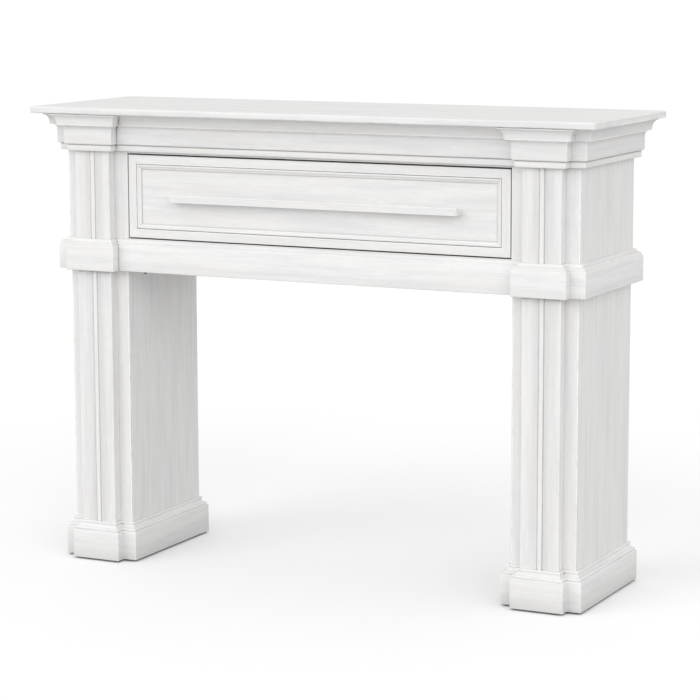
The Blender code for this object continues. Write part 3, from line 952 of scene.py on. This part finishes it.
class MANTEL_OT_feet(bpy.types.Operator):
    """Make the plinths, their mouldings and the glides"""

    bl_idname = "mantel.feet"
    bl_label = "Plinths and glides"

    def execute(self, context):
        corners = context.scene.handwork.corner_round
        # Heights kept clear of glaze and painted shade, and whether the foot gets a painted contact
        # shadow.
        glaze_and_shade_clearings = {
            "plinth": (CLEARED_HEAD, CLEARED_FOOT, True),
            "base_moulding": (0.0, CLEARED_FOOT, False),
        }
        for side in SIDES:
            for part, glaze_and_shade_cleared in glaze_and_shade_clearings.items():
                dress(f"{part}_{side}", "turning", (0, 1), corners=corners, ring=True, glaze_and_shade_cleared=glaze_and_shade_cleared)
            for place in ("front", "back"):
                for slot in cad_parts[f"glide_{place}_{side}"].material_slots:
                    slot.material = material("nylon")
        return {"FINISHED"}


class MANTEL_OT_drawer_front(bpy.types.Operator):
    """Make the drawer's frame, bead, panel and bar pull"""

    bl_idname = "mantel.drawer_front"
    bl_label = "Drawer front"

    def execute(self, context):
        for edge in EDGES:
            lies = edge in ("bottom", "top")
            direction, cuts = ("x", (0,)) if lies else ("z", (2,))
            for part, foot in (("frame", 0.0), ("bead", BEAD_FOOT)):
                quiet = (is_mitre, QUIET_MITRE, foot)
                dress(f"drawer_{part}_{edge}", direction, cuts, quiet=quiet, body="drawer")
        for part in ("panel", "pull"):
            dress(f"drawer_{part}", "x", (0,), body="drawer")
        return {"FINISHED"}


class MANTEL_OT_drawer_box(bpy.types.Operator):
    """Make the plain box behind the drawer's front"""

    bl_idname = "mantel.drawer_box"
    bl_label = "Drawer box"

    def execute(self, context):
        for side in SIDES:
            dress(f"drawer_side_{side}", "y", (1,), "bare", body="drawer")
        for part in ("back", "bottom"):
            dress(f"drawer_{part}", "x", (0,), "bare", body="drawer")
        return {"FINISHED"}


class MANTEL_OT_soffit_bolt(bpy.types.Operator):
    """Make the small dark bolt head under the lintel's left end"""

    bl_idname = "mantel.soffit_bolt"
    bl_label = "Soffit bolt"

    def execute(self, context):
        settings = context.scene.soffit_bolt
        low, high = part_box("lintel_rail")
        right, inwards = settings.inset
        place = Vector((low.x + right, low.y + inwards, low.z - settings.height / 2))
        bm = bmesh.new()
        bmesh.ops.create_cone(
            bm,
            cap_ends=True,
            segments=BOLT_SIDES,
            radius1=settings.radius * BOLT_TAPER,
            radius2=settings.radius,
            depth=settings.height,
        )
        foot = min(bm.faces, key=lambda face: face.calc_center_median().z)
        bmesh.ops.inset_individual(bm, faces=[foot], thickness=settings.radius * BOLT_WALL)
        bmesh.ops.translate(bm, vec=(0, 0, settings.height * BOLT_SOCKET), verts=foot.verts)
        rims = [edge for edge in bm.edges if edge.calc_face_angle(0) > RIM_ANGLE]
        bmesh.ops.bevel(
            bm,
            geom=rims,
            offset=settings.radius * BOLT_RIM,
            segments=ROUND_SEGMENTS,
            affect="EDGES",
            profile=0.5,
            material=-1,
        )
        bmesh.ops.translate(bm, vec=place, verts=bm.verts)
        make_piece("soffit_bolt", bm, "bolt", "cabinet", [])
        return {"FINISHED"}


class MANTEL_OT_stage(bpy.types.Operator):
    """Set the pale floor, the soft studio light and the camera"""

    bl_idname = "mantel.stage"
    bl_label = "Stage"

    def execute(self, context):
        settings = context.scene.stage
        bm = bmesh.new()
        bmesh.ops.create_grid(bm, x_segments=1, y_segments=1, size=settings.floor_size / 2)
        mesh = bpy.data.meshes.new("floor")
        bm.to_mesh(mesh)
        bm.free()
        finish, graph, shader = new_material("Pale floor")
        place = graph.add("ShaderNodeTexCoord").outputs["Object"]
        drawn = graph.add("ShaderNodeTexNoise", Vector=place, Scale=FLOOR_MOTTLE, Detail=MOTTLE_DETAIL)
        mottle = drawn.outputs["Fac"]
        shown = graph.blend(mottle, *map(opaque, FLOOR_SHOWN))
        bounced = graph.blend(mottle, *map(opaque, FLOOR_BOUNCED))
        seen = graph.add("ShaderNodeLightPath").outputs["Is Camera Ray"]
        graph.feed(shader.inputs["Base Color"], graph.blend(seen, bounced, shown))
        shader.inputs["Roughness"].default_value = FLOOR_ROUGHNESS
        shader.inputs["Specular IOR Level"].default_value = FLOOR_SPECULAR
        mesh.materials.append(finish)
        floor = bpy.data.objects.new("floor", mesh)
        context.scene.collection.objects.link(floor)
        self.light(context, settings)
        self.aim_camera(context, settings)
        return {"FINISHED"}

    def light(self, context, settings):
        world = bpy.data.worlds.new("Even sky")
        world.use_nodes = True
        sky = world.node_tree.nodes["Background"]
        sky.inputs["Color"].default_value = (1, 1, 1, 1)
        sky.inputs["Strength"].default_value = settings.sky
        context.scene.world = world
        context.scene.view_settings.view_transform = "Standard"
        lift = Matrix.Rotation(math.pi / 2 - settings.lamp_height, 4, "X")
        for strength, turn in zip(settings.lamps, settings.lamp_turns):
            data = bpy.data.lights.new("soft lamp", "SUN")
            data.energy = strength
            data.angle = settings.lamp_softness
            lamp = bpy.data.objects.new("soft lamp", data)
            lamp.matrix_world = Matrix.Rotation(turn, 4, "Z") @ lift
            context.scene.collection.objects.link(lamp)

    def aim_camera(self, context, settings):
        lens = bpy.data.cameras.new("photo_view")
        lens.sensor_width = SENSOR_WIDTH
        lens.lens = settings.focal_length
        lens.clip_end = settings.floor_size
        camera = bpy.data.objects.new("photo_view", lens)
        turn = Matrix.Rotation(settings.camera_turn, 4, "Z")
        tilt = Matrix.Rotation(math.pi / 2 - settings.camera_tilt, 4, "X")
        roll = Matrix.Rotation(settings.camera_roll, 4, "Z")
        camera.matrix_world = Matrix.Translation(settings.camera_place) @ turn @ tilt @ roll
        context.scene.collection.objects.link(camera)
        context.scene.camera = camera


class MANTEL_PT_sidebar(bpy.types.Panel):
    bl_label = "Mantelpiece"
    bl_idname = "MANTEL_PT_sidebar"
    bl_space_type = "VIEW_3D"
    bl_region_type = "UI"
    bl_category = "Mantelpiece"

    def draw(self, context):
        for operator in OPERATORS:
            self.layout.operator(operator.bl_idname)
        for name, settings in SETTINGS.items():
            box = self.layout.box()
            box.label(text=settings.__doc__)
            group_settings = getattr(context.scene, name)
            for field in settings.__annotations__:
                box.prop(group_settings, field)


SETTINGS = {
    "limed_wood": LimedWoodSettings,
    "handwork": HandworkSettings,
    "soffit_bolt": BoltSettings,
    "stage": StageSettings,
}
OPERATORS = (
    MANTEL_OT_shelf,
    MANTEL_OT_crown,
    MANTEL_OT_belt,
    MANTEL_OT_pilasters,
    MANTEL_OT_case,
    MANTEL_OT_legs,
    MANTEL_OT_feet,
    MANTEL_OT_drawer_front,
    MANTEL_OT_drawer_box,
    MANTEL_OT_soffit_bolt,
    MANTEL_OT_stage,
)
CLASSES = (*SETTINGS.values(), *OPERATORS, MANTEL_PT_sidebar)


def register():
    for item in CLASSES:
        bpy.utils.register_class(item)
    for name, settings in SETTINGS.items():
        setattr(bpy.types.Scene, name, bpy.props.PointerProperty(type=settings))


def unregister():
    for name in SETTINGS:
        delattr(bpy.types.Scene, name)
    for item in reversed(CLASSES):
        bpy.utils.unregister_class(item)


def main():
    register()
    for operator in OPERATORS:
        family, name = operator.bl_idname.split(".")
        getattr(getattr(bpy.ops, family), name)()


if __name__ == "__main__":
    main()
